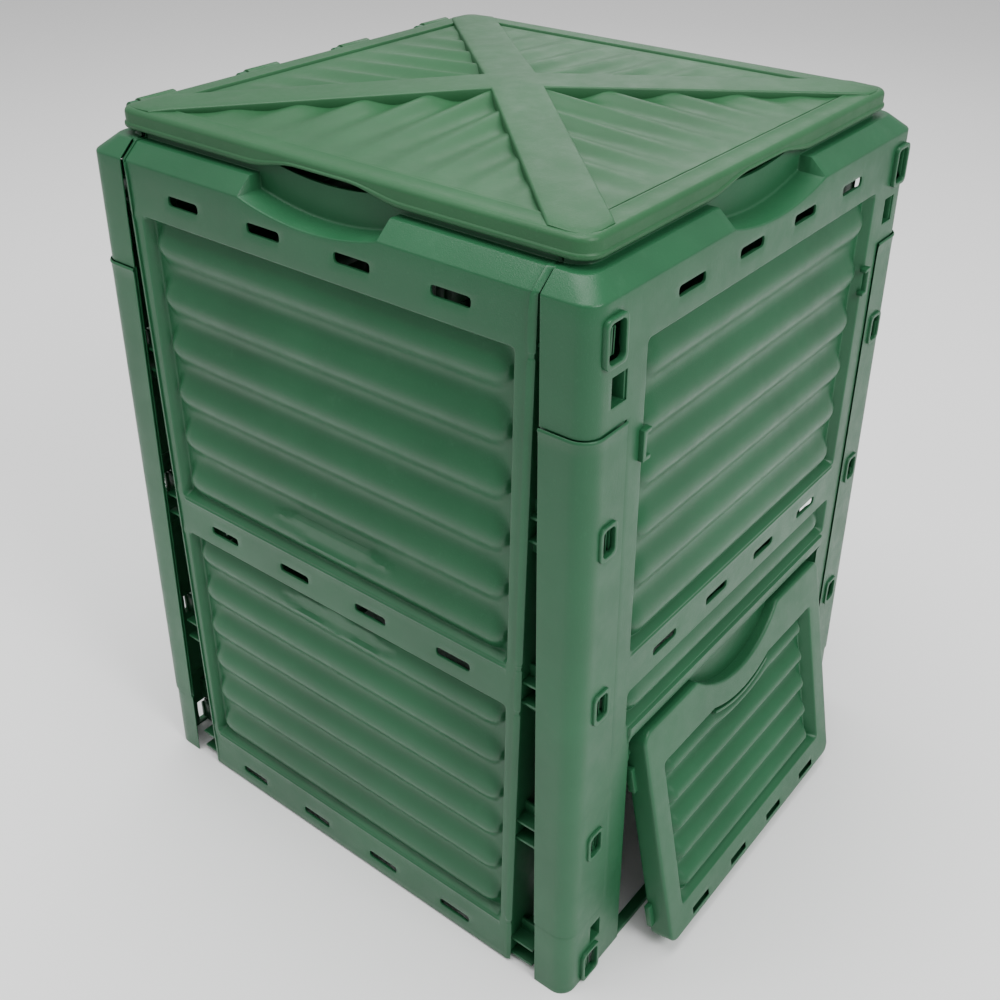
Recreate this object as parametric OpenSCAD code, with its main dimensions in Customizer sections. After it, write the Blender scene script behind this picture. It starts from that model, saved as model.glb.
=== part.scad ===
/* [Bin] */
// Half length of the footprint on the hatch sides, along X
foot_x = 314; // [290:1:330]
// Half length of the footprint on the plain sides, along Y
foot_y = 305; // [290:1:330]
// Height of the top edge of the walls, below the chamfer
wall_top = 782; // [760:1:800]
// How far each wall leans in from the ground to its top edge
lean_in = 16; // [10:1:20]
// Radius of the upright corners
corner_r = 18; // [14:1:22]
// Thickness of the plain panels
wall = 3; // [2.5:0.5:4]
// Thickness of the wrap-round panels
wrap_wall = 4; // [3.5:0.5:5]

/* [Rim] */
// Inset of the 45 degree chamfer at the top of the walls
chamfer_in = 17; // [14:1:20]
// Height of that chamfer
chamfer_h = 15; // [12:1:18]
// Width of the flat ledge between the chamfer and the neck
ledge_w = 12; // [10:1:13]
// Height of the neck that the lid fits over
neck_h = 17; // [14:1:19]
// Half width of the finger scoop in the rim
scoop_half_w = 84; // [60:1:95]
// Depth of the finger scoop below the top edge of the walls
scoop_drop = 12; // [8:1:14]

/* [Faces] */
// Height of the bottom band
band_low = 60; // [50:1:66]
// Lower edge of the middle band
band_mid = 366; // [356:1:372]
// Height of the middle band
band_mid_h = 46; // [40:1:52]
// Height of the top band
band_top_h = 49; // [44:1:56]
// Half width of the recessed fields on the plain panels
field_half_w = 228; // [215:1:230]
// Half width of the recessed fields on the wrap-round panels
wrap_field_half_w = 214; // [200:1:220]
// Depth of the recessed fields
field_depth = 11; // [8:1:14]
// Height of the ridges above the floor of a field
ridge_h = 7; // [4:1:9]
// Ridges in each full field
ridges = 6; // [4:1:8]
// Length of a vent slot
slot_len = 42; // [36:1:48]
// Height of a vent slot
slot_h = 10; // [8:1:12]

/* [Joints between panels] */
// Height of the lowest tab above the ground
tab_first = 21; // [20:1:24]
// Upright distance between tabs
tab_pitch = 182; // [178:1:184]
// Distance of the tab slots from the middle of a wrap-round panel
tab_y = 262; // [258:1:264]
// Half width of a plain panel at the ground
stile_low = 237; // [234:1:240]
// Half width of a plain panel at the top of the walls
stile_top = 244; // [240:1:245]
// Half gap between two corner posts at the ground
post_low = 274; // [268:1:276]
// Half gap between two corner posts at the top of the walls
post_top = 249; // [248:1:252]
// Lower end of a corner cover
cover_low = 92; // [88:1:96]
// Upper end of a corner cover
cover_top = 671; // [660:1:676]

/* [Lid] */
// Half length of the lid along X
lid_x = 277; // [276:1:279]
// Half length of the lid along Y
lid_y = 267; // [266:1:269]
// Underside of the lid's skirt above the ground
skirt_low = 804; // [803:1:806]
// Height of the lid's skirt
skirt_h = 18; // [16:1:20]
// Rise of the lid from its rim to its middle
crown = 16; // [10:1:20]
// Width of the arms that cross the lid
arm_w = 52; // [44:1:60]
// Distance of the lid's hinge line from the middle of the bin
hinge_x = 285; // [285:1:286]
// Height of the lid's hinge line
hinge_z = 812; // [811:1:813]
// Radius of the hinge pegs
peg_r = 4; // [3.5:0.5:4.5]
// Distance between hinge pegs
peg_pitch = 140; // [130:1:150]

/* [Hatches] */
// Half width of the hatch openings
opening_half_w = 205; // [200:1:208]
// Underside of the ledge above a hatch
opening_top = 304; // [303:1:306]
// Half width of a hatch
hatch_half_w = 190; // [186:1:190]
// Depth of a hatch from its front to its back rim
hatch_deep = 26; // [24:1:28]
// Distance of a hatch's pivot from the middle of the bin
pivot_x = 298; // [297:1:300]
// Height of a hatch's pivot
pivot_z = 266; // [264:1:266]
// Distance from the pivot to the hatch's front
pivot_to_front = 24; // [22:1:24]
// Height of a hatch above its pivot
hatch_up = 25; // [22:1:26]
// Height of a hatch below its pivot
hatch_down = 258; // [250:1:259]
// Radius of the hatch pivots
pivot_r = 4; // [3.5:0.5:4.5]
// How far the right hatch stands tilted out
tilt_open = 12; // [8:0.5:14]

/* [Hidden] */
$fn = 32;
green = [0.24, 0.42, 0.28];
lid_green = [0.30, 0.50, 0.34];
big = 2000;
lean = atan(lean_in / wall_top);
// Hatches hang parallel to the wall when they are shut
tilt_shut = lean;
// The origin is the middle of the whole footprint, with the right hatch tilted out
reach_out = pivot_x + pivot_to_front * cos(tilt_open) + hatch_down * sin(tilt_open);
reach_shut = pivot_x + pivot_to_front * cos(tilt_shut) + hatch_down * sin(tilt_shut);
shift_x = (reach_shut - reach_out) / 2;
foot_clear = 3;
rim_z = wall_top + chamfer_h;
band_top = wall_top - band_top_h;
field_low = band_mid + band_mid_h;
plain_pitch = 108;
wrap_pitch = 99.5;
slot_rows = [24, 386, 756];
tabs = 5;
tab_h = 24;
tab_slot = [22, 34];
boss = [30, 43];
cover_slot = [17, 27];
cover_boss = [25, 36];
boss_r = 5;
boss_out = 4;
cover_edge_y = 240;
cover_out = 1.5;
cover_gap = 0.3;
cover_wall = 3;
rim_depth = chamfer_in + ledge_w;
skin = 0.4;
lap = 0.5;
peep = [18, 27];
peep_rows = [59, 704];
peep_y = 252;
keeper_up = 638;
tunnel_len = 44;
tunnel_clear = 1.5;
tunnel_wall = 3;
short_field_low = opening_top + 14;

function half_at(half, z) = half - lean_in * z / wall_top;
function tab_z(k) = tab_first + k * tab_pitch;

// Carries a flat drawing onto a leaning wall: x runs along it, y up it, z out of it.
module on_face(half, side) {
    rotate([0, 0, 90 * side])
        translate([0, -half, 0])
            rotate([90 - lean, 0, 0]) children();
}

// Extrudes a [up, out] outline along the wall.
module along(w) {
    translate([-w / 2, 0, 0]) rotate([90, 0, 90]) linear_extrude(w) children();
}

module slot2d(len, h) {
    square([len - h, h], center = true);
    for (s = [-1, 1]) translate([s * (len - h) / 2, 0]) circle(d = h);
}

module slot_rows2d(pitch) {
    for (v = slot_rows, i = [-1.5 : 1.5]) translate([i * pitch, v]) slot2d(slot_len, slot_h);
}

module window2d(half_w, low, high) {
    translate([-half_w, low]) square([2 * half_w, high - low]);
}

// A recessed field: four side walls, buried in the panel's own edge, round a sheet with weatherboard ridges.
module field(half_w, low, high, count) {
    pitch = (high - low) / count;
    deep = -field_depth;
    crest = deep + ridge_h;
    face = concat([[high + 2 * lap, deep], [high - 0.75 * pitch, crest]],
        [for (i = [1 : 1 : count - 1]) each [[high - i * pitch, deep], [high - (i + 0.75) * pitch, crest]]],
        [[low - 2 * lap, deep]]);
    back = [for (i = [0 : len(face) - 1]) face[len(face) - 1 - i] - [0, wall]];
    along(2 * half_w + 4 * lap) polygon(concat(face, back));
    translate([0, 0, deep - wall - lap]) linear_extrude(field_depth + wall - lap) difference() {
        window2d(half_w + wall + lap, low - wall - lap, high + wall + lap);
        window2d(half_w + lap, low - lap, high + lap);
    }
}

// The finger scoop seen square on: an arc that sags below the top edge of the wall
module scoop2d(grow) {
    r = (scoop_half_w * scoop_half_w + scoop_drop * scoop_drop) / (2 * scoop_drop);
    half = scoop_half_w + grow;
    steps = 8;
    low = wall_top - scoop_drop - grow;
    polygon(concat([for (i = [-steps : steps]) let (x = i * half / steps)
        [x, low + r - sqrt(r * r - x * x)]], [[half, rim_z + big], [-half, rim_z + big]]));
}

// Floor, ends and back of the scoop before it is hollowed, kept inside the rim's own skin
module scoop_block() {
    intersection() {
        translate([0, 0, -rim_depth - wall + skin]) linear_extrude(rim_depth + wall) scoop2d(wall);
        along(4 * scoop_half_w) polygon([[wall_top - 2 * rim_depth, -skin], [wall_top - skin, -skin],
            [rim_z - skin, -chamfer_in - skin], [rim_z - skin, -rim_depth - wall + skin],
            [wall_top - 2 * rim_depth, -rim_depth - wall + skin]]);
    }
}

module scoop_hollow() {
    translate([0, 0, -rim_depth]) linear_extrude(2 * rim_depth) scoop2d(0);
}

// ---- Plain panels, front and back ----

module stile2d() {
    polygon([[-stile_low, foot_clear], [stile_low, foot_clear],
             [stile_top, wall_top], [-stile_top, wall_top]]);
}

module plain_rim() {
    in1 = -chamfer_in;
    in2 = in1 - ledge_w;
    up1 = wall_top + chamfer_h;
    along(2 * stile_top) polygon([[wall_top - 1, 0], [up1, in1], [up1, in2],
        [up1 + neck_h, in2], [up1 + neck_h, in2 - wall], [up1 - wall, in2 - wall],
        [up1 - wall, in1 - wall / 2], [wall_top - 1, -wall]]);
}

// Upright flange down each side edge
module side_flange(s) {
    flare = atan((stile_top - stile_low) / wall_top);
    flange_in = 14;
    translate([s * (stile_low - wall / 2), 0, 0]) rotate([0, 0, -s * flare]) along(wall)
        polygon([[foot_clear, -1], [wall_top, -1], [wall_top, -flange_in], [foot_clear, -flange_in]]);
}

// A tab that reaches behind the corner post and into its slot, between two angle ribs
module side_tab(s, k) {
    v = tab_z(k);
    deep = half_at(foot_y, v) - tab_y;
    start = stile_low - 1;
    tip = half_at(foot_x, v) - 1;
    head = 5;
    rib_len = 30;
    rib_up = tab_h / 2;
    rib_front = 6;
    bar_out = 17;
    bar_h = 15;
    translate([s > 0 ? start : -tip, v - tab_h / 2, -deep - wall / 2]) cube([tip - start, tab_h, wall]);
    translate([s > 0 ? tip - head : -tip, v - tab_h / 2, -deep - wall]) cube([head, tab_h, 2 * wall]);
    for (u = [-1, 1]) translate([s > 0 ? start : -start - rib_len, v + u * rib_up, -deep]) {
        bar = u > 0 ? bar_h : min(bar_h, v - rib_up - foot_clear);
        translate([0, -wall / 2, 0]) cube([rib_len, wall, deep - rib_front]);
        translate([0, u > 0 ? 0 : -bar, bar_out - wall / 2]) cube([rib_len, bar, wall]);
    }
}

module plain_panel(side) {
    color(green) on_face(foot_y, side) {
        difference() {
            union() {
                translate([0, 0, -wall]) linear_extrude(wall) difference() {
                    stile2d();
                    slot_rows2d(plain_pitch);
                    window2d(field_half_w, band_low, band_mid);
                    window2d(field_half_w, field_low, band_top);
                }
                plain_rim();
                scoop_block();
            }
            scoop_hollow();
        }
        field(field_half_w, band_low, band_mid, ridges);
        field(field_half_w, field_low, band_top, ridges);
        for (s = [-1, 1]) {
            side_flange(s);
            for (k = [0 : tabs - 1]) side_tab(s, k);
        }
    }
}

// ---- Wrap-round panels, right and left ----

module block2d(hx, hy, r) {
    offset(r) square([2 * (hx - r), 2 * (hy - r)], center = true);
}

module ring2d(hx, hy, r, t) {
    difference() {
        block2d(hx, hy, r);
        block2d(hx - t, hy - t, max(r - t, 1));
    }
}

// A solid with rounded upright corners; each level is [half length, half width, height].
module block(levels, r) {
    steps = 6;
    n = 4 * (steps + 1);
    top = (len(levels) - 1) * n;
    points = [for (l = levels, q = [0 : 3], i = [0 : steps])
        let (a = 90 * q + 90 * i / steps)
        [(q == 0 || q == 3 ? 1 : -1) * (l.x - r) + r * cos(a), (q < 2 ? 1 : -1) * (l.y - r) + r * sin(a), l.z]];
    sides = [for (k = [0 : len(levels) - 2], i = [0 : n - 1])
        let (j = (i + 1) % n) [k * n + i, k * n + n + i, k * n + n + j, k * n + j]];
    polyhedron(points, concat([[for (i = [0 : n - 1]) i]], [[for (i = [n - 1 : -1 : 0]) top + i]], sides));
}

// Everything nearer the middle than the edge of the +X posts, which splay apart towards the ground
module post_gap() {
    knee = wall_top - 6;
    rotate([90, 0, 0]) linear_extrude(2 * big, center = true)
        polygon([[-big, -1], [post_low, -1], [post_top, knee], [post_top, big], [-big, big]]);
}

module wrap_shell() {
    tx = half_at(foot_x, wall_top);
    ty = half_at(foot_y, wall_top);
    rx = tx - chamfer_in;
    ry = ty - chamfer_in;
    t = wrap_wall;
    nx = tx - rim_depth;
    ny = ty - rim_depth;
    difference() {
        union() {
            block([[foot_x, foot_y, 0], [tx, ty, wall_top], [rx, ry, rim_z]], corner_r);
            block([[nx, ny, rim_z - wall], [nx, ny, rim_z + neck_h]], corner_r);
        }
        block([[half_at(foot_x, -1) - t, half_at(foot_y, -1) - t, -1],
               [tx - t, ty - t, wall_top - t / 2], [rx - t / 2, ry - t / 2, rim_z - wall]], corner_r - t / 2);
        block([[nx - wall, ny - wall, rim_z - 2 * wall], [nx - wall, ny - wall, rim_z + neck_h + 1]], corner_r - wall);
    }
}

// The room a corner cover needs, taken out of the panel under it
module cover_seat() {
    z0 = cover_low - cover_gap;
    z1 = cover_top + cover_gap;
    h0x = half_at(foot_x, z0);
    h0y = half_at(foot_y, z0);
    seat = cover_wall - cover_out + cover_gap;
    beyond = 5;
    for (s = [-1, 1]) translate([0, 0, z0]) intersection() {
        linear_extrude(z1 - z0, scale = [half_at(foot_x, z1) / h0x, half_at(foot_y, z1) / h0y], slices = 1)
            ring2d(h0x + beyond, h0y + beyond, corner_r + beyond, beyond + seat);
        translate([0, s > 0 ? cover_edge_y : -big - cover_edge_y, -1]) cube([big, big, big]);
    }
}

module boss_at(half, side, s, k, root, size) {
    on_face(half, side) translate([s * tab_y, tab_z(k), -root])
        linear_extrude(root + boss_out) block2d(size.x / 2, size.y / 2, boss_r);
}

module boss_slot(half, side, s, k, size) {
    on_face(half, side) translate([s * tab_y, tab_z(k), -corner_r])
        linear_extrude(2 * corner_r) slot2d_up(size);
}

module slot2d_up(size) {
    r = boss_r;
    square([size.x, size.y - 2 * r], center = true);
    square([size.x - 2 * r, size.y], center = true);
    for (a = [-1, 1], b = [-1, 1])
        translate([a * (size.x / 2 - r), b * (size.y / 2 - r)]) circle(r);
}

// Square peep holes beside the highest and lowest slots
module peep_holes(s) {
    for (v = peep_rows) on_face(foot_x, 1) translate([s * peep_y, v, -corner_r])
        linear_extrude(2 * corner_r) square(peep, center = true);
}

// Opening for the hatch, with jambs, a sill and a ledge
module hatch_frame() {
    jamb = 24;
    jamb_foot = 1;
    strip_h = 13;
    strip_out = 3;
    sill_h = 7;
    sill_w = 12;
    on_face(foot_x, 1) {
        for (s = [-1, 1]) translate([s * (opening_half_w + lap + wall / 2) - wall / 2, jamb_foot, -jamb])
            cube([wall, opening_top - jamb_foot, jamb - 1]);
        along(2 * (opening_half_w + wall + 2 * lap)) polygon([[opening_top - lap, strip_out],
            [opening_top + strip_h, strip_out], [opening_top + strip_h, -wall], [opening_top + wall, -wall],
            [opening_top + wall, -jamb - lap], [opening_top - lap, -jamb - lap]]);
    }
    translate([foot_x - sill_w - 1, -opening_half_w - 1, 0]) cube([sill_w, 2 * opening_half_w + 2, sill_h]);
}

// A cradle on each jamb, open at the top, that a hatch's pivot drops into
module pivot_hook(s) {
    clear = 0.06;
    w = 9;
    lip = 3.5;
    rise = 7;
    outer = pivot_r + lip;
    inner = pivot_r + clear;
    translate([pivot_x, s * (opening_half_w + 1.5 - w / 2), pivot_z]) rotate([90, 0, 0]) difference() {
        translate([0, 0, -w / 2]) linear_extrude(w) {
            circle(outer);
            translate([-outer, 0]) square([2 * outer, rise]);
        }
        translate([0, 0, -w]) cylinder(r = inner, h = 2 * w);
        translate([-inner, 0, -w]) cube([2 * inner, 2 * rise, 2 * w]);
    }
}

// C-shaped keepers on the stiles, where a lifted hatch is parked
module keeper(s) {
    size = [12, 30];
    web = 5;
    arm = 4;
    root = 2;
    out = 5;
    on_face(foot_x, 1) translate([s * (wrap_field_half_w - 1.4), keeper_up, -root])
        linear_extrude(root + out) difference() {
            square(size, center = true);
            translate([-s * (web + root) / 2, 0])
                square([size.x - web + root, size.y - 2 * arm], center = true);
        }
}

module wrap_panel(side) {
    color(green) rotate([0, 0, side == 1 ? 0 : 180]) {
        difference() {
            union() {
                difference() {
                    wrap_shell();
                    post_gap();
                    cover_seat();
                    on_face(foot_x, 1) translate([0, 0, -20]) linear_extrude(40) {
                        window2d(wrap_field_half_w, field_low, band_top);
                        window2d(wrap_field_half_w, short_field_low, band_mid);
                        window2d(opening_half_w, -10, opening_top);
                        slot_rows2d(wrap_pitch);
                    }
                }
                for (s = [-1, 1], k = [0, tabs - 1]) boss_at(foot_x, 1, s, k, wrap_wall / 2, boss);
                if (side == 1) on_face(foot_x, 1) scoop_block();
            }
            for (s = [-1, 1]) {
                for (k = [0 : tabs - 1]) boss_slot(foot_x, 1, s, k, tab_slot);
                peep_holes(s);
            }
            if (side == 1) on_face(foot_x, 1) scoop_hollow();
            translate([0, 0, -big]) cube([2 * big, 2 * big, 2 * big], center = true);
        }
        on_face(foot_x, 1) {
            field(wrap_field_half_w, field_low, band_top, ridges);
            field(wrap_field_half_w, short_field_low, band_mid, 1);
        }
        hatch_frame();
        for (s = [-1, 1]) {
            pivot_hook(s);
            keeper(s);
        }
    }
}

// ---- Corner covers ----

module corner_cover(turn) {
    z0 = cover_low;
    z1 = cover_top;
    h0x = half_at(foot_x, z0);
    h0y = half_at(foot_y, z0);
    flip = turn == 1 || turn == 3 ? -1 : 1;
    color(green) rotate([0, 0, turn >= 2 ? 180 : 0]) scale([1, flip, 1]) difference() {
        union() {
            difference() {
                translate([0, 0, z0]) intersection() {
                    linear_extrude(z1 - z0, scale = [half_at(foot_x, z1) / h0x, half_at(foot_y, z1) / h0y],
                                   slices = 1) ring2d(h0x + cover_out, h0y + cover_out, corner_r, cover_wall);
                    translate([0, -big - cover_edge_y - cover_gap, -1]) cube([big, big, big]);
                }
                post_gap();
            }
            for (k = [1 : tabs - 2]) boss_at(foot_x, 1, -1, k, 1, cover_boss);
        }
        for (k = [1 : tabs - 2]) boss_slot(foot_x, 1, -1, k, cover_slot);
    }
}

// ---- Lid ----

module lid_block(inset, low, rise) {
    top = skirt_low + skirt_h - inset;
    hull() {
        translate([0, 0, low]) linear_extrude(top - low) block2d(lid_x - inset, lid_y - inset, 20 - inset);
        translate([0, 0, top]) linear_extrude(rise) square([4, 4], center = true);
    }
}

module lid_arm(s) {
    corner_gap = 22;
    len = norm([lid_x, lid_y]) - corner_gap;
    rotate([0, 0, s * atan(lid_y / lid_x)]) hull() {
        for (e = [-1, 1]) translate([e * len, 0, skirt_low + skirt_h - 2]) cube([1, arm_w, 1], center = true);
        translate([0, 0, skirt_low + skirt_h + crown]) cube([arm_w, arm_w, 2], center = true);
    }
}

module lid() {
    roof = 9;
    web = 10;
    open_down = 2;
    color(lid_green) {
        difference() {
            union() {
                lid_block(0, skirt_low, crown);
                for (s = [-1, 1]) lid_arm(s);
            }
            lid_block(wall, skirt_low - 1, crown);
        }
        for (i = [-1.5 : 1.5]) translate([-hinge_x, i * peg_pitch - tunnel_len / 2, hinge_z])
            rotate([-90, 0, 0]) difference() {
                union() {
                    cylinder(r = peg_r + tunnel_clear + tunnel_wall, h = tunnel_len);
                    translate([0, -roof, 0]) cube([web, roof, tunnel_len]);
                }
                translate([0, 0, -1]) cylinder(r = peg_r + tunnel_clear, h = tunnel_len - 2);
                translate([-2 * web, open_down, -1]) cube([3 * web, 2 * web, tunnel_len + 2]);
            }
    }
}

// Knobs on the left panel's rim that hold the lid's pegs
module hinge_pegs() {
    knob_len = 10;
    knob_r = peg_r + 3;
    root = 26;
    clear = 1;
    peg_len = tunnel_len - 6;
    for (i = [-1.5 : 1.5]) translate([-hinge_x, i * peg_pitch - tunnel_len / 2 - clear, hinge_z]) {
        rotate([90, 0, 0]) cylinder(r = knob_r, h = knob_len);
        translate([-knob_r, -knob_len, -root]) cube([2 * knob_r - 1, knob_len, root]);
        rotate([-90, 0, 0]) translate([0, 0, -1]) cylinder(r = peg_r, h = peg_len);
    }
}

// ---- Hatches ----

module tray2d(inset) {
    r = 12;
    middle = (hatch_up - hatch_down) / 2;
    translate([0, middle]) block2d(hatch_half_w - inset, hatch_up - middle - inset, r - inset);
}

// A pan sunk in the top edge for the fingers, with its own floor and arched wall
module hand_pan(r, up, deep) {
    intersection() {
        translate([0, up, -deep - wall]) difference() {
            cylinder(r = r + wall, h = deep + wall);
            translate([0, 0, wall]) cylinder(r = r, h = hatch_deep);
        }
        translate([0, 0, -hatch_deep]) linear_extrude(hatch_deep) window2d(hatch_half_w, -hatch_down, hatch_up);
    }
}

// A tray, drawn shut and upright: x out of the wall, y along it, z up, with its pivot at the origin
module hatch_tray() {
    side_rim = 26;
    low_rail = 36;
    top_rail = 50;
    slot_pitch = 85;
    slot_up = 12;
    hand_r = 130;
    hand_up = hatch_up + 92;
    hand_deep = hatch_deep / 2;
    field_half = hatch_half_w - side_rim;
    field_bottom = low_rail - hatch_down;
    field_top = hatch_up - top_rail;
    rotate([90, 0, 90]) translate([0, 0, pivot_to_front]) {
        difference() {
            translate([0, 0, -hatch_deep]) linear_extrude(hatch_deep) tray2d(0);
            translate([0, 0, -hatch_deep - 1]) linear_extrude(hatch_deep - wall + 1) tray2d(wall);
            translate([0, 0, -2 * wall]) linear_extrude(4 * wall) {
                window2d(field_half, field_bottom, field_top);
                for (i = [-1.5 : 1.5]) translate([i * slot_pitch, slot_up - hatch_down])
                    slot2d(slot_len - 6, slot_h - 1);
            }
            translate([0, hand_up, -hand_deep]) cylinder(r = hand_r, h = hatch_deep);
        }
        field(field_half, field_bottom, field_top, 5);
        hand_pan(hand_r, hand_up, hand_deep);
    }
    pin_len = 13;
    pin_root = 2;
    side_lug = [9, 8, 30];
    side_lug_up = -34;
    stop_lug = [9, 10, 28];
    stop_lug_up = 38 - hatch_down;
    for (s = [-1, 1]) {
        translate([0, s * (hatch_half_w - pin_root + pin_len / 2), 0]) rotate([90, 0, 0])
            cylinder(r = pivot_r, h = pin_len, center = true);
        translate([2, s * (hatch_half_w + 1.5), side_lug_up]) cube(side_lug, center = true);
        translate([0, s * (hatch_half_w + 2), stop_lug_up]) cube(stop_lug, center = true);
    }
}

module hatch(tilt) {
    color(green) translate([pivot_x, 0, pivot_z]) rotate([0, -tilt, 0]) hatch_tray();
}

module placed() {
    translate([shift_x, 0, 0]) children();
}

module front_panel() placed() plain_panel(0);
module back_panel() placed() plain_panel(2);
module right_panel() placed() wrap_panel(1);
module left_panel() placed() {
    wrap_panel(3);
    color(green) hinge_pegs();
}

front_panel();
back_panel();
right_panel();
left_panel();
placed() corner_cover(0);  // corner_cover_front_right
placed() corner_cover(1);  // corner_cover_back_right
placed() corner_cover(2);  // corner_cover_back_left
placed() corner_cover(3);  // corner_cover_front_left
placed() lid();
placed() hatch(tilt_open);  // right_hatch
placed() rotate([0, 0, 180]) hatch(tilt_shut);  // left_hatch
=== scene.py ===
import math

import bmesh
import bpy
from mathutils import Matrix, Vector


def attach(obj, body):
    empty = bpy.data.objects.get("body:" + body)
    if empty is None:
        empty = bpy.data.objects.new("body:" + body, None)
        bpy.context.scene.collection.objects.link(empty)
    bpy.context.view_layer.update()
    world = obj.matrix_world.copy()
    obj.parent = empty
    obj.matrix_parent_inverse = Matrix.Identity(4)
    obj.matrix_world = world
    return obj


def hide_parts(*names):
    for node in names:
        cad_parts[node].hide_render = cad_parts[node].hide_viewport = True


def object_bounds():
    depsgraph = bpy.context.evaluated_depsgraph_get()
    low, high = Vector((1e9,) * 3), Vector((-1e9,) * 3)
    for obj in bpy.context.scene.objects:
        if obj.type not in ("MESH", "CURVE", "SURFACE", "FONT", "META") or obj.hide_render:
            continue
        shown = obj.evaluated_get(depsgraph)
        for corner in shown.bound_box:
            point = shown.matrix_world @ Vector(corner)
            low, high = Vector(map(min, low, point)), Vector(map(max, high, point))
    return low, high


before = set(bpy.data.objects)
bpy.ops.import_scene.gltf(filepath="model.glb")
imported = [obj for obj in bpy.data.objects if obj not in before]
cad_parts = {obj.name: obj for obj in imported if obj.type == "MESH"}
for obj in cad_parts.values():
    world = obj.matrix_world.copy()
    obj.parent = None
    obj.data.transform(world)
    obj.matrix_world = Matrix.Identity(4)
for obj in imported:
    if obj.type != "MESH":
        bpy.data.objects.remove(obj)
cad_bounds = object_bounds()

# ---- Driving dimensions in millimetres: those of the CAD, with finer ridges and edges ----
MM = 0.001
FOOT_X, FOOT_Y = 314.0, 305.0
WALL_TOP, LEAN_IN, CORNER_R = 782.0, 16.0, 18.0
LEAN = math.atan(LEAN_IN / WALL_TOP)
WALL, WRAP_WALL, COVER_WALL = 3.0, 4.0, 3.0
CHAMFER_IN, CHAMFER_H, LEDGE_W, NECK_H = 17.0, 15.0, 12.0, 17.0
RIM_Z = WALL_TOP + CHAMFER_H
RIM_DEPTH = CHAMFER_IN + LEDGE_W
SCOOP_HALF, SCOOP_DROP = 84.0, 12.0
BAND_LOW, BAND_MID, FIELD_LOW, BAND_TOP = 60.0, 366.0, 412.0, 733.0
FIELD_HALF, WRAP_FIELD_HALF, FIELD_DEPTH = 228.0, 214.0, 11.0
RIDGE_H, RIDGES = 9.0, 6
SLOT_LEN, SLOT_H, SLOT_R = 42.0, 10.0, 3.2
SLOT_ROWS = (24.0, 386.0, 756.0)
PLAIN_PITCH, WRAP_PITCH = 108.0, 99.5
STILE_LOW, STILE_TOP = 237.0, 244.0
POST_LOW, POST_TOP = 274.0, 249.0
TAB_FIRST, TAB_PITCH, TABS, TAB_Y, TAB_H = 21.0, 182.0, 5, 262.0, 24.0
COVER_LOW, COVER_TOP, COVER_EDGE, COVER_OUT = 92.0, 671.0, 240.0, 1.5
COVER_TABS = range(1, TABS - 1)
PEEP, PEEP_ROWS, PEEP_Y = (18.0, 27.0), (59.0, 704.0), 252.0
PANEL_SLOT, COVER_SLOT, BOSS_BORDER, BOSS_R, BOSS_OUT = (22.0, 34.0), (17.0, 27.0), 4.0, 6.0, 4.0
KEEPER_UP = 638.0
OPENING_HALF, OPENING_TOP, STRIP_H, STRIP_OUT = 205.0, 304.0, 13.0, 3.0
JAMB = 24.0
LID_X, LID_Y, SKIRT_LOW, SKIRT_H, CROWN, ARM_W = 277.0, 267.0, 804.0, 18.0, 16.0, 52.0
HINGE_X, HINGE_Z, PEG_R, PEG_PITCH, TUNNEL = 285.0, 812.0, 4.0, 140.0, 44.0
HATCH_HALF, HATCH_DEEP, HATCH_UP, HATCH_DOWN = 190.0, 26.0, 25.0, 258.0
PIVOT_X, PIVOT_Z, PIVOT_FRONT, PIVOT_R = 298.0, 266.0, 24.0, 4.0
TILT_OPEN = math.radians(12)
REACH_OUT = PIVOT_X + PIVOT_FRONT * math.cos(TILT_OPEN) + HATCH_DOWN * math.sin(TILT_OPEN)
REACH_SHUT = PIVOT_X + PIVOT_FRONT * math.cos(LEAN) + HATCH_DOWN * math.sin(LEAN)
SHIFT_X = (REACH_SHUT - REACH_OUT) / 2
LIP_R = 2.4
STEEP = math.radians(68)
FIELD_R = 7.0
GRID_STEP = 9
ON_EDGE = 0.06

ROW = Matrix.Scale(MM, 4) @ Matrix.Translation((SHIFT_X, 0, 0))


# ---- Small helpers ----
def half_at(half, z):
    """Half size of the bin at height z."""
    return half - LEAN_IN * min(z, WALL_TOP) / WALL_TOP


def mix(a, b, t):
    return a + (b - a) * t


def clamp(t):
    return max(0.0, min(1.0, t))


def smooth(t):
    t = clamp(t)
    return t * t * (3 - 2 * t)


def tab_up(k):
    return TAB_FIRST + k * TAB_PITCH


def tab_slot(k):
    """Width and height of the upright slot of tab k: smaller on the corner covers."""
    return COVER_SLOT if k in COVER_TABS else PANEL_SLOT


def face_frame(half, side):
    """A leaning wall's own frame: x along it, y up it, z out of it."""
    return (ROW @ Matrix.Rotation(math.pi / 2 * side, 4, "Z") @ Matrix.Translation((0, -half, 0))
            @ Matrix.Rotation(math.pi / 2 - LEAN, 4, "X"))


def lines(low, high, marks, step):
    """Grid lines from low to high through the marks, with no gap wider than step."""
    fixed = sorted({low, high} | {m for m in marks if low < m < high})
    kept = [fixed[0]]
    for m in fixed[1:]:
        if m - kept[-1] > 0.12:
            kept.append(m)
    kept[-1] = high
    out = [kept[0]]
    for a, b in zip(kept, kept[1:]):
        n = max(1, math.ceil((b - a) / step))
        out += [mix(a, b, i / n) for i in range(1, n + 1)]
    return out


def both(marks):
    return [s * m for m in marks for s in (-1, 1)]


def arc_points(r, angles):
    return [(r * math.cos(a), r * math.sin(a)) for a in angles]


# ---- Profiles that the panels share ----
def wall_run(depth):
    reach = LIP_R * math.sin(STEEP)
    fall = LIP_R * (1 - math.cos(STEEP))
    return 2 * reach + (depth - 2 * fall) / math.tan(STEEP)


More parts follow.
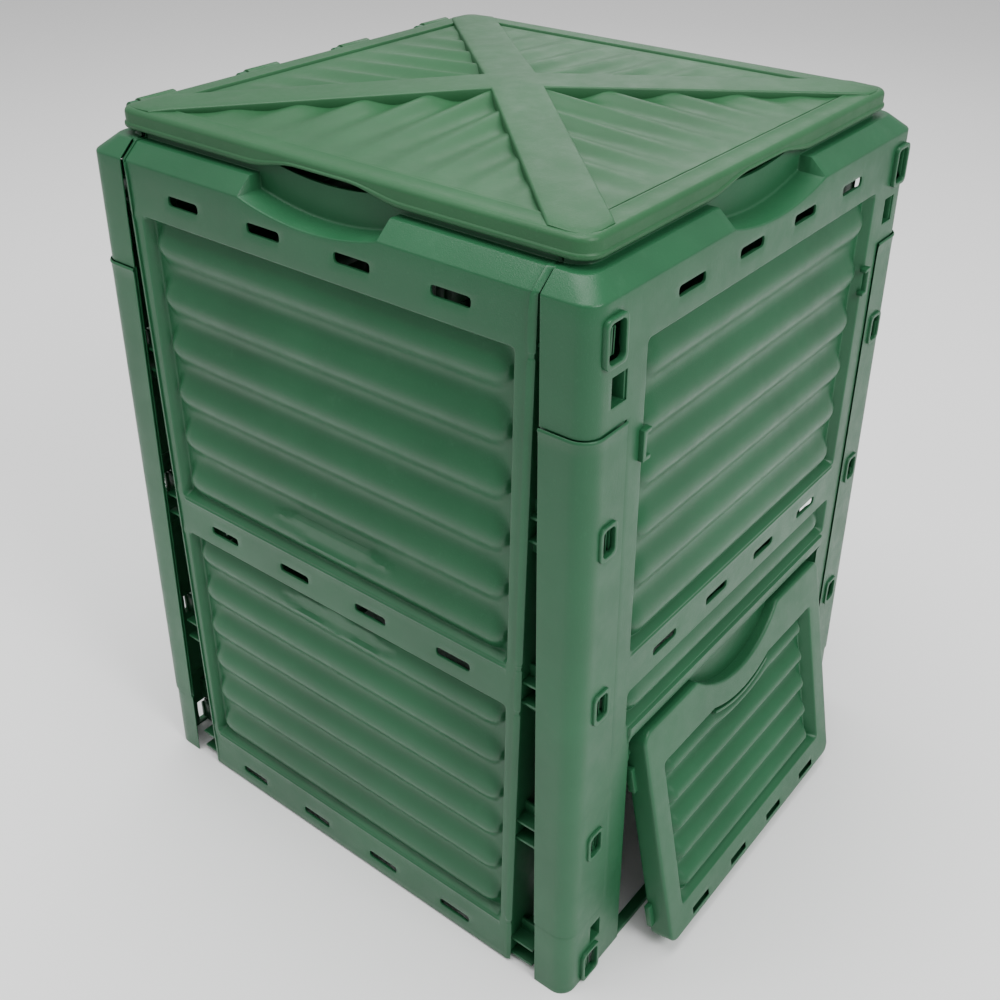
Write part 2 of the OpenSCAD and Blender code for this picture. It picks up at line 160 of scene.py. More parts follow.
def wall_stops(depth):
    bends = [LIP_R * math.sin(STEEP * i / 4) for i in range(5)]
    run = wall_run(depth)
    return bends + [run - b for b in reversed(bends)]


def wall_drop(d, depth):
    """How deep a recess is at distance d inside its edge: round lip, drafted wall, round foot."""
    reach = LIP_R * math.sin(STEEP)
    fall = LIP_R * (1 - math.cos(STEEP))
    run = wall_run(depth)
    if d <= 0:
        return 0.0
    if d < reach:
        return LIP_R - math.sqrt(LIP_R * LIP_R - d * d)
    if d >= run:
        return depth
    if d > run - reach:
        e = run - d
        return depth - LIP_R + math.sqrt(LIP_R * LIP_R - e * e)
    return fall + (d - reach) * math.tan(STEEP)


CREST, FULLNESS = 0.6, 0.9
RIDGE_STOPS = (0.0, 0.07, 0.14, 0.21, 0.28, 0.36, 0.44, 0.52, CREST, 0.67, 0.73, 0.79, 0.85, 0.9, 0.95)
END_GAP, END_LEN, END_AXIS = 2.0, 19.0, 0.5
END_STOPS = (0, 0.05, 0.15, 0.3, 0.5, 0.75, 1)


def ridge_shape(q):
    """One ridge down its pitch: a round roll with its crest past the middle and a soft valley."""
    if q <= 0 or q >= 1:
        return 0.0
    turn = q / CREST if q < CREST else (1 - q) / (1 - CREST)
    return (0.5 - 0.5 * math.cos(math.pi * turn)) ** FULLNESS


def ridge_height(x, v, half, low, high, count):
    pitch = (high - low) / count
    q = ((high - v) / pitch) % 1.0
    ends = (half - wall_run(FIELD_DEPTH) - END_GAP - abs(x)) / END_LEN
    if ends <= 0 or not low < v < high:
        return 0.0
    if ends < 1:
        shrink = math.sqrt(1 - (1 - ends) ** 2)
        q = END_AXIS + (q - END_AXIS) / max(shrink, 0.02)
        return RIDGE_H * ridge_shape(q) * shrink ** 0.7
    return RIDGE_H * ridge_shape(q)


def ridge_end_marks(half):
    """Grid marks along the rounded ends of the ridges of a field that is this wide."""
    run = half - wall_run(FIELD_DEPTH) - END_GAP
    return both([run - END_LEN * t for t in END_STOPS])


LENS_HALF = 86.0


def lens(x, v, up, tall):
    """1 inside a flat lens-shaped patch centred at height up, 0 outside it."""
    edge = 1 - (x / LENS_HALF) ** 2 - ((v - up) / tall) ** 2
    return smooth(edge / 0.12)


def inside_field(across, up, r=FIELD_R):
    """Distance inside a field's rounded outline, from the distances to its nearest side and end."""
    if across < r and up < r:
        return r - math.hypot(r - across, r - up)
    return min(across, up)


def field_height(x, v, half, fields):
    """Height of a face at a point: 0 on the bands and stiles, below it in the fields."""
    for low, high, count in fields:
        d = inside_field(half - abs(x), min(v - low, high - v))
        if d > 0:
            h = -wall_drop(d, FIELD_DEPTH) + ridge_height(x, v, half, low, high, count)
            return min(h, 0.0)
    return 0.0


def field_rows(fields):
    rows = []
    for low, high, count in fields:
        pitch = (high - low) / count
        for d in wall_stops(FIELD_DEPTH) + [FIELD_R]:
            rows += [low + d, high - d]
        first = wall_run(FIELD_DEPTH)
        for i in range(count):
            marks = [high - (i + q) * pitch for q in RIDGE_STOPS]
            rows += [m for m in marks if low + first < m < high - first]
    return rows


BEAD_W, BEAD_H, BEAD_STOPS = 3.6, 1.0, (0.0, 0.15, 0.35, 0.5, 0.65, 0.85, 1.0)


def bead(v, top, x, half):
    """A small bead along the top edge of a band."""
    t = (top - 0.6 - v) / BEAD_W
    if not 0 < t < 1 or abs(x) > half:
        return 0.0
    return BEAD_H * math.sqrt(1 - (2 * t - 1) ** 2) * smooth((half - abs(x)) / 3)


def bead_rows(top):
    return [top - 0.6 - BEAD_W * t for t in BEAD_STOPS]


# ---- Mesh building ----
def trim_to_row(mesh):
    """Takes off the fraction of a millimetre that the thickening can add outside the row's own box."""
    low, high = cad_bounds
    for v in mesh.vertices:
        v.co = [max(low[i], min(high[i], v.co[i])) for i in range(3)]


def new_piece(name, bm, thick=0.0, bevel=0.45, sharp=38):
    """Turns a bmesh in metres into a finished object: thickened, with small rounded edges."""
    if not thick:
        bmesh.ops.recalc_face_normals(bm, faces=bm.faces)
    mesh = bpy.data.meshes.new(name)
    bm.to_mesh(mesh)
    bm.free()
    obj = bpy.data.objects.new(name, mesh)
    bpy.context.scene.collection.objects.link(obj)
    if thick:
        shell = obj.modifiers.new("thickness", "SOLIDIFY")
        shell.thickness = thick * MM
        shell.offset = -1
        shell.use_even_offset = True
        shell.thickness_clamp = 1.0
    if bevel:
        edge = obj.modifiers.new("edges", "BEVEL")
        edge.width = bevel * MM
        edge.segments = 2
        edge.limit_method = "ANGLE"
        edge.angle_limit = math.radians(50)
    seen = obj.evaluated_get(bpy.context.evaluated_depsgraph_get())
    final = bpy.data.meshes.new_from_object(seen)
    obj.modifiers.clear()
    obj.data = final
    final.name = name
    trim_to_row(final)
    final.polygons.foreach_set("use_smooth", [True] * len(final.polygons))
    final.set_sharp_from_angle(angle=math.radians(sharp))
    return obj


def grid(bm, points, keep):
    """Quads over a table of points, points[row][column], leaving out the cells that keep refuses."""
    verts = [[bm.verts.new(p) for p in row] for row in points]
    for j in range(len(points) - 1):
        for i in range(len(points[0]) - 1):
            if keep(i, j):
                corner = (verts[j][i], verts[j][i + 1], verts[j + 1][i + 1], verts[j + 1][i])
                bm.faces.new(corner)
    loose = [v for v in bm.verts if not v.link_faces]
    bmesh.ops.delete(bm, geom=loose, context="VERTS")


def prism(bm, outline, low, high, where, hole=None):
    """A closed prism on a flat outline, or on an outline with a hole of as many points."""
    def ring(points, z):
        return [bm.verts.new(where @ Vector((p[0], p[1], z))) for p in points]
    n = len(outline)
    a, b = ring(outline, low), ring(outline, high)
    faces = [(a[i], a[(i + 1) % n], b[(i + 1) % n], b[i]) for i in range(n)]
    if hole:
        c, d = ring(hole, low), ring(hole, high)
        faces += [(d[i], d[(i + 1) % n], c[(i + 1) % n], c[i]) for i in range(n)]
        faces += [(b[i], b[(i + 1) % n], d[(i + 1) % n], d[i]) for i in range(n)]
        faces += [(a[(i + 1) % n], a[i], c[i], c[(i + 1) % n]) for i in range(n)]
    else:
        faces += [tuple(b), tuple(reversed(a))]
    for f in faces:
        bm.faces.new(f)


def box_outline(x0, x1, y0, y1):
    return [(x0, y0), (x1, y0), (x1, y1), (x0, y1)]


def side_box(s, x0, x1, y0, y1):
    """A box outline on the side s, 1 or -1."""
    return box_outline(*sorted((s * x0, s * x1)), y0, y1)


def round_box(cx, cy, w, h, r, steps=5):
    out = []
    for q, (sx, sy) in enumerate(((1, 1), (-1, 1), (-1, -1), (1, -1))):
        for i in range(steps + 1):
            a = math.pi / 2 * (q + i / steps)
            out.append((cx + sx * (w / 2 - r) + r * math.cos(a), cy + sy * (h / 2 - r) + r * math.sin(a)))
    return out


def bend_path(points, radii, steps=3):
    """A polyline with its inner corners rounded, always with the same number of points."""
    out = [Vector(points[0])]
    for i in range(1, len(points) - 1):
        before, at, after = (Vector(points[i + k]) for k in (-1, 0, 1))
        a = at + (before - at).normalized() * radii[i - 1]
        b = at + (after - at).normalized() * radii[i - 1]
        for k in range(steps + 1):
            t = k / steps
            out.append((1 - t) ** 2 * a + 2 * t * (1 - t) * at + t * t * b)
    out.append(Vector(points[-1]))
    return out


# ---- The rim, as a path of (out, up) from the wall to the top of the neck ----
RIM_START = 765.0
NECK_DIP = 11.0
RIM_BENDS, SCOOP_BENDS = (1.6, 1.6, 1.4), (1.6, 0.5, 3.0)


def scoop_sag(x):
    """Height of the finger scoop's edge at x."""
    r = (SCOOP_HALF ** 2 + SCOOP_DROP ** 2) / (2 * SCOOP_DROP)
    return WALL_TOP - SCOOP_DROP + r - math.sqrt(r * r - min(abs(x), SCOOP_HALF) ** 2)


def rim_path(x, scooped):
    top = RIM_Z + NECK_H
    if scooped and abs(x) < SCOOP_HALF:
        top -= NECK_DIP * (1 - (x / SCOOP_HALF) ** 2)
        low = scoop_sag(x)
        corners = [(0, RIM_START), (0, low), (-CHAMFER_IN, low + 0.6)]
        corners += [(-RIM_DEPTH, low + 1), (-RIM_DEPTH, top)]
        return bend_path(corners, SCOOP_BENDS)
    corners = [(0, RIM_START), (0, WALL_TOP), (-CHAMFER_IN, RIM_Z), (-RIM_DEPTH, RIM_Z), (-RIM_DEPTH, top)]
    return bend_path(corners, RIM_BENDS)


SCOOP_LINES = (SCOOP_HALF - 0.9, SCOOP_HALF + 0.3)


# ---- Vent slots, cut by leaving out grid cells ----
def slot_columns(pitch):
    marks = (-SLOT_LEN / 2, -SLOT_LEN / 2 + SLOT_R, SLOT_LEN / 2 - SLOT_R, SLOT_LEN / 2)
    return [(i - 1.5) * pitch + m for i in range(4) for m in marks]


def slot_levels():
    marks = (-SLOT_H / 2, -SLOT_H / 2 + SLOT_R, SLOT_H / 2 - SLOT_R, SLOT_H / 2)
    return [v + m for v in SLOT_ROWS for m in marks]


def in_slot(x, v, pitch):
    near_x = min(abs(x - (i - 1.5) * pitch) for i in range(4))
    near_v = min(abs(v - s) for s in SLOT_ROWS)
    return near_x < SLOT_LEN / 2 and near_v < SLOT_H / 2


def round_slot_corner(x, v, pitch):
    """Moves the corner points of a slot in, which rounds its corners."""
    pull = SLOT_R * (1 - math.sqrt(0.5))
    cx = min(((i - 1.5) * pitch for i in range(4)), key=lambda c: abs(x - c))
    cv = min(SLOT_ROWS, key=lambda c: abs(v - c))
    if abs(abs(x - cx) - SLOT_LEN / 2) < ON_EDGE and abs(abs(v - cv) - SLOT_H / 2) < ON_EDGE:
        return x - math.copysign(pull, x - cx), v - math.copysign(pull, v - cv)
    return x, v


# ---- Plain panels ----
PLAIN_FIELDS = ((BAND_LOW, BAND_MID, RIDGES), (FIELD_LOW, BAND_TOP, RIDGES))
LENSES = ((447.0, 11.0, -4.6), (347.0, 12.0, -5.2))
PLAIN_START = 3
ROLL_IN, ROLL_DOWN = 2.2, 0.9
ROLL_STOPS = (0.0, 0.5, 1.2, ROLL_IN)
FLANGE_STOPS = (0.07, 0.25, 0.6, 1.0)


def plain_edge(v):
    return mix(STILE_LOW, STILE_TOP, clamp(v / WALL_TOP))


def plain_height(x, v):
    h = field_height(x, v, FIELD_HALF, PLAIN_FIELDS)
    for up, tall, level in LENSES:
        h = mix(h, level, lens(x, v, up, tall))
    return h + bead(v, FIELD_LOW, x, FIELD_HALF - 3) + bead(v, BAND_LOW, x, FIELD_HALF - 3)


def plain_sheet(name, side):
    where = face_frame(FOOT_Y, side)
    inner = STILE_LOW - 4
    marks = both([FIELD_HALF - d for d in wall_stops(FIELD_DEPTH)])
    marks += ridge_end_marks(FIELD_HALF)
    marks += both(SCOOP_LINES) + slot_columns(PLAIN_PITCH) + both([LENS_HALF - 2, LENS_HALF + 2])
    across = lines(-inner, inner, marks, GRID_STEP)
    levels = field_rows(PLAIN_FIELDS) + slot_levels() + bead_rows(FIELD_LOW) + bead_rows(BAND_LOW)
    ups = lines(PLAIN_START, RIM_START, levels, GRID_STEP)
    columns = [("fold", -1, d) for d in reversed(FLANGE_STOPS)]
    columns += [("side", -1, f) for f in reversed(ROLL_STOPS)]
    columns += [("face", x, 0) for x in across]
    columns += [("side", 1, f) for f in ROLL_STOPS] + [("fold", 1, d) for d in FLANGE_STOPS]

    def flange_depth(v):
        return half_at(FOOT_Y, v) - TAB_Y + WALL

    def place(column, v, out=None, up=None):
        kind, a, b = column
        h = 0.0
        x, y = a, v
        if kind == "face":
            x, y = round_slot_corner(a, v, PLAIN_PITCH)
            h = plain_height(a, v)
        elif kind == "side":
            x = a * (plain_edge(v) - b)
            h = -ROLL_DOWN * (1 - b / ROLL_IN) ** 2
        else:
            x = a * plain_edge(v)
            h = -ROLL_DOWN - b * (flange_depth(v) - ROLL_DOWN)
        if out is not None:
            h, y = h + out, up
        return where @ Vector((x, y, h))

    rows = [[place(c, v) for c in columns] for v in ups]
    paths = {}
    for c in columns:
        x = c[1] if c[0] == "face" else c[1] * STILE_TOP
        paths[c] = rim_path(x, True)
    for k in range(1, len(paths[columns[0]])):
        rows.append([place(c, WALL_TOP, paths[c][k].x, paths[c][k].y) for c in columns])
    last_wall = len(ups) - 1

    def keep(i, j):
        a, b = columns[i], columns[i + 1]
        if "fold" in (a[0], b[0]):
            return j <= last_wall
        if a[0] != "face" or b[0] != "face" or j >= last_wall:
            return True
        return not in_slot((a[1] + b[1]) / 2, (ups[j] + ups[j + 1]) / 2, PLAIN_PITCH)

    bm = bmesh.new()
    grid(bm, rows, keep)
    return new_piece(name, bm, WALL)


RIB_LEN, BAR_H, BAR_OUT, RIB_TOP, TIP_LEN = 30.0, 15.0, 17.0, 6, 5


def tab_prisms(name, side):
    """The tabs that reach behind the corner posts, with the ribs that stiffen them."""
    where = face_frame(FOOT_Y, side)
    bm = bmesh.new()
    for s in (-1, 1):
        for k in range(TABS):
            v = tab_up(k)
            deep = half_at(FOOT_Y, v) - TAB_Y
            start, tip = STILE_LOW - 1, half_at(FOOT_X, v) - 1
            low, high = v - TAB_H / 2, v + TAB_H / 2
            for x0, x1, half in ((start, tip, WALL / 2), (tip - TIP_LEN, tip, WALL)):
                prism(bm, side_box(s, x0, x1, low, high), -deep - half, -deep + half, where)
            ribs = sorted((s * start, s * (start + RIB_LEN)))
            for u in (-1, 1):
                y = v + u * TAB_H / 2
                prism(bm, box_outline(*ribs, y - WALL / 2, y + WALL / 2), -deep, -RIB_TOP, where)
                bar = BAR_H if u > 0 else min(BAR_H, y - WALL)
                outline = box_outline(*ribs, *sorted((y, y + u * bar)))
                prism(bm, outline, -deep + BAR_OUT - WALL / 2, -deep + BAR_OUT + WALL / 2, where)
    return new_piece(name, bm, bevel=0.6)


# ---- Wrap-round panels and corner covers ----
WRAP_FIELDS = ((OPENING_TOP + STRIP_H + 1, BAND_MID, 1), (FIELD_LOW, BAND_TOP, RIDGES))
ARC_STEPS = 7
FIXED_Y = COVER_EDGE - 4
FACE_END = FOOT_Y - CORNER_R
STRIP_R, STRIP_STOPS = 1.6, (0, 0.5, 1.2, 3)
SEAT_GAP, CORNER_DEEP = 0.3, 6
PEEP_DEEP, SILL_DEEP, SILL_H = 13, 13, 7
KEEPER_IN = 1.4
KEEPER_SHAPE = ((6, -15), (6, 15), (-6, 15), (-6, 11), (1, 11), (1, -11), (-6, -11), (-6, -15))


def post_edge(z):
    return mix(POST_LOW, POST_TOP, clamp(z / WALL_TOP))


def around(column, z, out=0.0):
    """A point of the wrap-round wall: column is ("face", y), ("arc", side, turn) or ("post", side, share)."""
    hx, hy = half_at(FOOT_X, z) + min(out, 0), half_at(FOOT_Y, z) + min(out, 0)
    lift = max(out, 0)
    kind = column[0]
    if kind == "face":
        y = column[1]
        if abs(y) > FIXED_Y:
            share = (abs(y) - FIXED_Y) / (FACE_END - FIXED_Y)
            y = math.copysign(mix(FIXED_Y, hy - CORNER_R, share), y)
        return Vector((hx + lift, y, z))
    side = column[1]
    if kind == "arc":
        a = column[2] * math.pi / 2
        r = CORNER_R + lift
        return Vector((hx - CORNER_R + r * math.cos(a), side * (hy - CORNER_R + r * math.sin(a)), z))
    x = mix(hx - CORNER_R, post_edge(z), column[2])
    return Vector((x, side * (hy + lift), z))


POST_SHARES = (0.25, 0.5, 0.7, 0.85, 0.96, 1.0)


def wrap_columns(ys):
    arc = [i / ARC_STEPS for i in range(1, ARC_STEPS + 1)]
    front = [("post", -1, t) for t in reversed(POST_SHARES)] + [("arc", -1, t) for t in reversed(arc)]
    back = [("arc", 1, t) for t in arc] + [("post", 1, t) for t in POST_SHARES]
    return front + [("face", y) for y in ys] + back


def wrap_height(y, v):
    h = field_height(y, v, WRAP_FIELD_HALF, WRAP_FIELDS) + bead(v, FIELD_LOW, y, WRAP_FIELD_HALF - 3)
    strip = min(OPENING_TOP + STRIP_H - v, OPENING_HALF + WALL - abs(y))
    if strip > 0 and v > OPENING_TOP - 1:
        h += STRIP_OUT * math.sqrt(1 - (1 - clamp(strip / STRIP_R)) ** 2)
    return h


def in_hole(point_y, z, rows):
    """Whether a point is in one of the upright slots of the corners, or in a peep hole."""
    for k in rows:
        if abs(point_y - TAB_Y) < tab_slot(k)[0] / 2 and abs(z - tab_up(k)) < tab_slot(k)[1] / 2:
            return True
    return any(abs(point_y - PEEP_Y) < PEEP[0] / 2 and abs(z - v) < PEEP[1] / 2 for v in PEEP_ROWS)


def wrap_sheet(name, side):
    turn = ROW @ Matrix.Rotation(math.pi / 2 * (side - 1), 4, "Z")
    scooped = side == 1
    marks = both([WRAP_FIELD_HALF - d for d in wall_stops(FIELD_DEPTH)])
    marks += ridge_end_marks(WRAP_FIELD_HALF)
    marks += both(SCOOP_LINES) + slot_columns(WRAP_PITCH) + both([OPENING_HALF, COVER_EDGE, COVER_EDGE - 0.6])
    marks += both([PEEP_Y - PEEP[0] / 2, PEEP_Y + PEEP[0] / 2])
    marks += both([TAB_Y - PANEL_SLOT[0] / 2, TAB_Y + PANEL_SLOT[0] / 2])
    marks += both([OPENING_HALF + WALL - d for d in STRIP_STOPS])
    ys = lines(-FACE_END, FACE_END, marks, GRID_STEP)
    columns = wrap_columns(ys)
    levels = field_rows(WRAP_FIELDS) + slot_levels() + bead_rows(FIELD_LOW) + [OPENING_TOP]
    levels += [COVER_LOW, COVER_LOW - 0.6, COVER_TOP, COVER_TOP + 0.6]
    levels += [OPENING_TOP + STRIP_H - d for d in STRIP_STOPS]
    levels += [tab_up(k) + s * tab_slot(k)[1] / 2 for k in range(TABS) for s in (-1, 1)]
    levels += [v + s * PEEP[1] / 2 for v in PEEP_ROWS for s in (-1, 1)]
    ups = lines(0, RIM_START, levels, GRID_STEP)

    def seat(column, z):
        """The panel steps back a little under a corner cover."""
        under = COVER_LOW - SEAT_GAP < z < COVER_TOP + SEAT_GAP
        at_side = column[0] != "face" or abs(column[1]) > COVER_EDGE - SEAT_GAP
        return -COVER_WALL + COVER_OUT - SEAT_GAP if under and at_side else 0.0

    def place(column, z):
        if column[0] != "face":
            return turn @ around(column, z, seat(column, z))
        y, v = round_slot_corner(column[1], z, WRAP_PITCH)
        base = around(("face", y), v, seat(column, z))
        base.x += wrap_height(column[1], z)
        return turn @ base

    rows = [[place(c, v) for c in columns] for v in ups]
    paths = {c: rim_path(c[1] if c[0] == "face" else FOOT_Y, scooped) for c in columns}
    for k in range(1, len(paths[columns[0]])):
        rows.append([turn @ around(c, paths[c][k].y, paths[c][k].x) for c in columns])
    last_wall = len(ups) - 1

    def keep(i, j):
        if j >= last_wall:
            return True
        a, b = columns[i], columns[i + 1]
        z = (ups[j] + ups[j + 1]) / 2
        middle = (around(a, z) + around(b, z)) / 2
        if middle.x > half_at(FOOT_X, z) - CORNER_DEEP and in_hole(abs(middle.y), z, range(TABS)):
            return False
        if a[0] != "face" or b[0] != "face":
            return True
        if abs(middle.y) < OPENING_HALF and z < OPENING_TOP:
            return False
        return not in_slot(middle.y, z, WRAP_PITCH)

    bm = bmesh.new()
    grid(bm, rows, keep)
    return new_piece(name, bm, WRAP_WALL)


def boss_prism(bm, turn, flip, k, root):
    """A raised frame round an upright slot, with the hook of the tab inside it."""
    where = turn @ ROW.inverted() @ face_frame(FOOT_X, 1)
    above_ground = 0.5
    wide, tall = tab_slot(k)
    outer = round_box(flip * TAB_Y, tab_up(k), wide + 2 * BOSS_BORDER, tall + 2 * BOSS_BORDER, BOSS_R)
    outer = [(x, max(v, above_ground)) for x, v in outer]
    hole = round_box(flip * TAB_Y, tab_up(k), wide, tall, BOSS_R - 1)
    prism(bm, outer, -root, BOSS_OUT, where, hole)
    hook = TAB_Y - 2
    reach = tall / 2 + 1
    rib = side_box(flip, hook, hook + WALL, tab_up(k) - reach, tab_up(k) + reach)
    prism(bm, rib, -16, -5, where)


def wrap_details(name, side):
    """Bosses, hatch frame, pivot hooks and keepers of a wrap-round panel."""
    turn = ROW @ Matrix.Rotation(math.pi / 2 * (side - 1), 4, "Z")
    where = face_frame(FOOT_X, side)
    bm = bmesh.new()
    for s in (-1, 1):
        for k in (0, TABS - 1):
            boss_prism(bm, turn, s, k, WRAP_WALL / 2)
        jamb = side_box(s, OPENING_HALF + 0.2, OPENING_HALF + 0.2 + WALL, 1, OPENING_TOP)
        prism(bm, jamb, -JAMB, -0.6, where)
        points = [(s * (WRAP_FIELD_HALF - KEEPER_IN + x), KEEPER_UP + y) for x, y in KEEPER_SHAPE]
        prism(bm, points if s > 0 else list(reversed(points)), -2, 5, where)
        for v in PEEP_ROWS:
            pocket = round_box(s * PEEP_Y, v, PEEP[0] + 2 * WALL, PEEP[1] + 2 * WALL, 2)
            prism(bm, pocket, -PEEP_DEEP, -1.5, where, round_box(s * PEEP_Y, v, *PEEP, 1))
            prism(bm, pocket, -PEEP_DEEP - 2, -PEEP_DEEP, where)
        hook_w, lip, rise = 9.0, 3.5, 7.0
        outer, inner = PIVOT_R + lip, PIVOT_R + 0.2
        arc = arc_points(outer, [math.pi * (1 + i / 12) for i in range(13)])
        back = arc_points(inner, [math.pi * (2 - i / 12) for i in range(13)])
        outline = arc + [(outer, rise), (inner, rise)] + back + [(-inner, rise), (-outer, rise)]
        middle = s * (OPENING_HALF + 1.5 - hook_w / 2)
        stand = turn @ Matrix.Translation((PIVOT_X, middle, PIVOT_Z)) @ Matrix.Rotation(math.pi / 2, 4, "X")
        prism(bm, outline, -hook_w / 2, hook_w / 2, stand)
    ledge = box_outline(-OPENING_HALF - WALL, OPENING_HALF + WALL, OPENING_TOP - 0.4, OPENING_TOP + WALL)
    prism(bm, ledge, -JAMB, STRIP_OUT - 0.6, where)
    sill = box_outline(FOOT_X - SILL_DEEP, FOOT_X - 1, -OPENING_HALF - 1, OPENING_HALF + 1)
    prism(bm, sill, 0, SILL_H, turn)
    return new_piece(name, bm, bevel=0.8)


def corner_cover(name, sx, sy):
    """The loose cover of one corner, with its three bosses."""
    flip = ROW @ Matrix.Diagonal((sx, sy, 1, 1))
    marks = [COVER_EDGE + m for m in (0.8, 1.6)] + [TAB_Y - COVER_SLOT[0] / 2, TAB_Y + COVER_SLOT[0] / 2]
    ys = lines(COVER_EDGE + 0.3, FACE_END, marks, 5)
    arc = [("arc", 1, i / ARC_STEPS) for i in range(1, ARC_STEPS + 1)]
    columns = [("face", y) for y in ys] + arc + [("post", 1, t) for t in POST_SHARES]
    stops = [COVER_TOP - d for d in (0.5, 1.2, 2.2, 3.2, 4.2)] + [COVER_LOW + d for d in (0.5, 1.2)]
    stops += [tab_up(k) + s * COVER_SLOT[1] / 2 for k in COVER_TABS for s in (-1, 1)]
    ups = lines(COVER_LOW, COVER_TOP, stops, 12)
    lip_half, lip_out = 2.2, 1.2

    def out_at(z):
        lip = clamp(1 - abs(COVER_TOP - lip_half - z) / lip_half)
        return COVER_OUT + lip_out * math.sqrt(lip)

    rows = [[flip @ around(c, z, out_at(z)) for c in columns] for z in ups]

    def keep(i, j):
        z = (ups[j] + ups[j + 1]) / 2
        middle = (around(columns[i], z) + around(columns[i + 1], z)) / 2
        on_side = middle.x > half_at(FOOT_X, z) - CORNER_DEEP
        return not (on_side and in_hole(middle.y, z, COVER_TABS))

    bm = bmesh.new()
    grid(bm, rows, keep)
    if sx * sy < 0:
        bmesh.ops.reverse_faces(bm, faces=bm.faces)
    shell = new_piece(name, bm, COVER_WALL)
    trim = bmesh.new()
    for k in COVER_TABS:
        boss_prism(trim, flip, 1, k, 1)
    return shell, new_piece(name + "_bosses", trim, bevel=0.8)


# ---- Hatches ----
HATCH_RIM, LOW_RAIL, TOP_RAIL, HATCH_FIELD_DEEP = 26.0, 36.0, 50.0, 15.0
HATCH_RIDGES, HATCH_RIDGE_H = 5, 11.5
HAND_R, HAND_RISE = 130.0, 92.0
HATCH_SLOT_PITCH, HATCH_SLOT_UP = 85.0, 12.0
HATCH_SLOT_HALF, HATCH_SLOT_TALL, HATCH_SLOT_R = 17, 4.5, 3
HATCH_END_GAP, HATCH_END_LEN = 1, 13
# A lug's near and far from the hatch's side, its low and high, and its back and front from the pivot
SIDE_LUG = (-2.5, 5.5, -49, -19, -2, 6.5)
STOP_LUG = (-3, 7, 24 - HATCH_DOWN, 52 - HATCH_DOWN, -2, 4.5)


def hatch_frame(side, tilt):
    """The hatch's own frame: x along it, y up it, z out of its front, pivot at the origin."""
    return (ROW @ Matrix.Rotation(math.pi / 2 * (side - 1), 4, "Z")
            @ Matrix.Translation((PIVOT_X, 0, PIVOT_Z))
            @ Matrix.Rotation(-tilt, 4, "Y") @ Matrix.Rotation(math.pi / 2, 4, "Z")
            @ Matrix.Rotation(math.pi / 2, 4, "X") @ Matrix.Translation((0, 0, PIVOT_FRONT)))


ARC_BAND_R, DIP_EASE = HAND_R + 24.0, 55.0


def hatch_height(x, v):
    low, high = LOW_RAIL - HATCH_DOWN, HATCH_UP - TOP_RAIL
    half = HATCH_HALF - HATCH_RIM
    d = inside_field(half - abs(x), min(v - low, high - v))
    if d <= 0:
        return 0.0
    pitch = (high - low) / HATCH_RIDGES
    ends = (half - wall_run(HATCH_FIELD_DEEP) - HATCH_END_GAP - abs(x)) / HATCH_END_LEN
    wave = 0.0
    if ends > 0:
        wave = HATCH_RIDGE_H * ridge_shape(((high - v) / pitch) % 1.0) * math.sqrt(smooth(ends))
    return -wall_drop(d, HATCH_FIELD_DEEP) + wave


